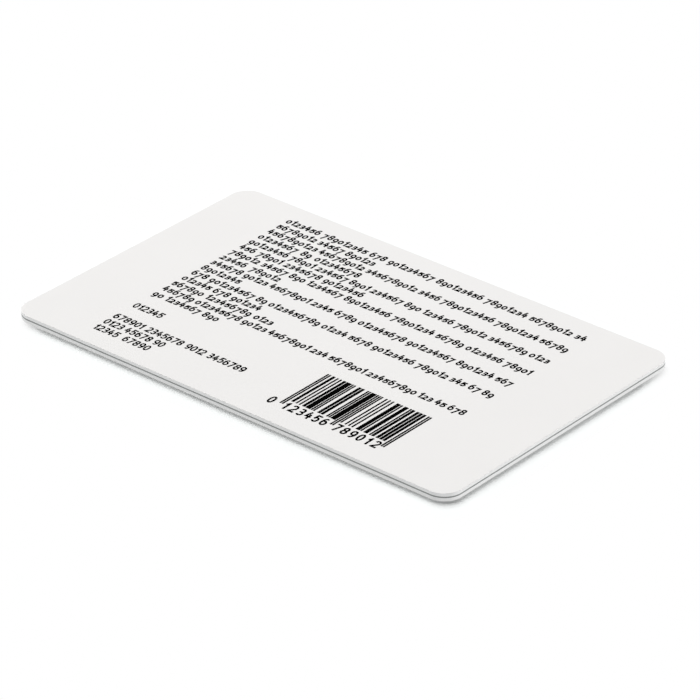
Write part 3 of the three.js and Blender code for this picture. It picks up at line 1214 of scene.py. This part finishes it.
def direction_from(azimuth_deg: float, elevation_deg: float) -> Vector:
    """The direction from the card towards a place round it.

    Args:
        azimuth_deg: the place's direction on the floor, turned from -Y towards +X.
        elevation_deg: its height above the floor, as an angle.

    Returns:
        A unit vector.
    """
    azimuth = math.radians(azimuth_deg)
    elevation = math.radians(elevation_deg)
    flat = math.cos(elevation)
    return Vector((math.sin(azimuth) * flat, -math.cos(azimuth) * flat, math.sin(elevation)))


@dataclass(frozen=True)
class Softbox:
    """A studio light that faces the card.

    Attributes:
        name: the light's name.
        azimuth_deg: direction that it comes from, turned from -Y towards +X.
        elevation_deg: its height above the floor, as an angle.
        distance: how far it is from the card.
        size: its width and height.
        level: how bright a white surface that faces it looks, where 1 is white.
    """

    name: str
    azimuth_deg: float
    elevation_deg: float
    distance: float
    size: tuple[float, float]
    level: float

    def place(self) -> None:
        """Hangs the light. Its power is level pi^2 distance^2, which gives that level on a white surface."""
        lamp = bpy.data.lights.new(self.name, "AREA")
        lamp.shape = "RECTANGLE"
        lamp.size, lamp.size_y = self.size
        lamp.energy = self.level * math.pi**2 * self.distance**2
        holder = bpy.data.objects.new(self.name, lamp)
        back = direction_from(self.azimuth_deg, self.elevation_deg)
        holder.location = back * self.distance
        holder.rotation_euler = back.to_track_quat("Z", "Y").to_euler()
        holder.visible_camera = False
        holder.visible_glossy = False
        bpy.context.scene.collection.objects.link(holder)


@dataclass
class Studio:
    """The floor, the lights, the world and the camera.

    Attributes:
        floor_size: length of the floor's sides.
        floor_drop: how far the floor lies below the card, so that their faces don't coincide.
        floor_white: how much light the floor throws back, as the camera sees it.
        floor_bounce: level of the even light that the floor throws back on the card.
        edge_fade: distances from the card's outline where the floor starts and ends its fade to plain white.
            This fade is partly painted light: it also paints out the outer tail of the card's real shadow.
        corner_shadow_erase: distances along the diagonal where it does so at the card's left and right
            corner. There
            the fade is painted light: the floor is painted plain white over the card's real shadow.
        corner_shift: how far along the diagonal, towards the right corner, those distances start.
        ambient: level of the light from all round.
        softboxes: the lights.
        azimuth_deg: direction that the camera looks from.
        elevation_deg: its height, as an angle.
        roll_deg: how far it is turned about its own axis.
        distance: its distance from the aim.
        aim: the point on the card's upper face in the middle of the picture.
        lens_mm: its focal length.
        sensor_mm: width of its sensor.
    """

    floor_size: float = 12.0
    floor_drop: float = 0.002 * MM
    floor_white: Colour = (0.98, 1.0, 0.995)
    floor_bounce: float = 0.4
    edge_fade: tuple[float, float] = (1.2 * MM, 4.0 * MM)
    corner_shadow_erase: tuple[float, float] = (44.8 * MM, 50.8 * MM)
    corner_shift: float = 0.6 * MM
    ambient: float = 0.08
    softboxes: tuple[Softbox, ...] = (
        Softbox(
            "key_behind", azimuth_deg=228.0, elevation_deg=48.0, distance=4.0, size=(3.0, 3.0), level=1.41
        ),
        Softbox(
            "fill_left", azimuth_deg=-35.0, elevation_deg=2.5, distance=3.0, size=(0.24, 0.24), level=0.615
        ),
        Softbox(
            "fill_right", azimuth_deg=100.0, elevation_deg=2.5, distance=3.0, size=(0.24, 0.24), level=0.697
        ),
    )
    azimuth_deg: float = 40.04
    elevation_deg: float = 29.35
    roll_deg: float = 0.20
    distance: float = 669.5 * MM
    aim: tuple[float, float] = (4.54 * MM, -3.09 * MM)
    lens_mm: float = 228.8
    sensor_mm: float = 36.0

    def build(self) -> None:
        """Makes the floor, the world, the lights and the camera."""
        self.lay_floor()
        self.light_world()
        for softbox in self.softboxes:
            softbox.place()
        self.stand_camera()
        bpy.context.scene.view_settings.view_transform = "Standard"

    def floor_finish(self) -> bpy.types.Material:
        """Makes the floor's material: the camera sees white with the card's shadow, the card an even light.

        Painted light: the floor turns to plain white with the distance from the card, which is the length of
        max(|place| - half the size, 0), and along the card's diagonal, by |place . diagonal - shift|, towards
        its left and right corner. This paints out the outer tail of the card's real shadow, and near those
        two corners the real shadow itself.

        Returns:
            The material.
        """
        bench = MaterialBench("white_floor")
        bench.material.cycles.emission_sampling = "NONE"
        _, half_size = CAD_BOX
        past = bench.vector("SUBTRACT", bench.vector("ABSOLUTE", bench.place).outputs["Vector"], half_size)
        away = bench.vector("LENGTH", bench.vector("MAXIMUM", past.outputs["Vector"]).outputs["Vector"])
        diagonal = Vector((half_size.x, half_size.y, 0.0)).normalized()
        along = bench.vector("DOT_PRODUCT", bench.place, diagonal).outputs["Value"]
        along = bench.number("ABSOLUTE", bench.number("SUBTRACT", along, self.corner_shift))
        # Painted light: past these distances the floor is painted plain white over the card's real shadow,
        # most of all near the card's left and right corner.
        past_edge = bench.rise(away.outputs["Value"], *self.edge_fade)
        fade = bench.number("MAXIMUM", past_edge, bench.rise(along, *self.corner_shadow_erase))
        lit = bench.add("ShaderNodeBsdfDiffuse", {"Color": opaque(self.floor_white)}).outputs["BSDF"]
        plain = bench.add("ShaderNodeEmission", {"Strength": 1.0}).outputs["Emission"]
        bounce = bench.add("ShaderNodeEmission", {"Strength": self.floor_bounce}).outputs["Emission"]
        return bench.close(bench.mixed(bench.seen_directly(), bounce, bench.mixed(fade, lit, plain)))

    def lay_floor(self) -> None:
        """Lays the floor under the card, as one square."""
        half = self.floor_size / 2
        low, _ = CAD_BOX
        corners = with_height(half * np.array([(-1, -1), (1, -1), (1, 1), (-1, 1)]), low.z - self.floor_drop)
        mesh = bpy.data.meshes.new("floor")
        mesh.from_pydata(corners.tolist(), [], [(0, 1, 2, 3)])
        mesh.materials.append(self.floor_finish())
        floor = bpy.data.objects.new("floor", mesh)
        bpy.context.scene.collection.objects.link(floor)

    def light_world(self) -> None:
        """Makes the world: white where it is seen, and a weak even light otherwise."""
        world = bpy.data.worlds.new("studio")
        world.use_nodes = True
        bench = NodeBench(world.node_tree)
        inputs = {"Value": bench.seen_directly(), "To Min": self.ambient, "To Max": 1.0}
        strength = bench.add("ShaderNodeMapRange", inputs).outputs["Result"]
        background = bench.nodes["Background"]
        background.inputs["Color"].default_value = opaque(WHITE)
        bench.links.new(strength, background.inputs["Strength"])
        bpy.context.scene.world = world

    def stand_camera(self) -> None:
        """Stands the camera where the photograph was taken from."""
        _, high = CAD_BOX
        back = direction_from(self.azimuth_deg, self.elevation_deg)
        level = UP.cross(back).normalized()
        right = Matrix.Rotation(math.radians(self.roll_deg), 3, back) @ level
        axes = Matrix((right, back.cross(right), back)).transposed()
        lens = bpy.data.cameras.new("camera")
        lens.lens = self.lens_mm
        lens.sensor_width = self.sensor_mm
        camera = bpy.data.objects.new("camera", lens)
        place = Vector((*self.aim, high.z)) + back * self.distance
        camera.matrix_world = Matrix.Translation(place) @ axes.to_4x4()
        bpy.context.scene.collection.objects.link(camera)
        bpy.context.scene.camera = camera


def main() -> None:
    """Builds the card's sub-assemblies and the studio, in order, and reports each piece."""
    logging.basicConfig(level=logging.INFO, format="%(name)s %(message)s")
    for assembly in (CardSheets(), PrintedBack(), Inlay()):
        for piece in assembly.build():
            log.info("%s: %s, %d faces", piece.name, piece.active_material.name, len(piece.data.polygons))
    Studio().build()


if __name__ == "__main__":
    main()
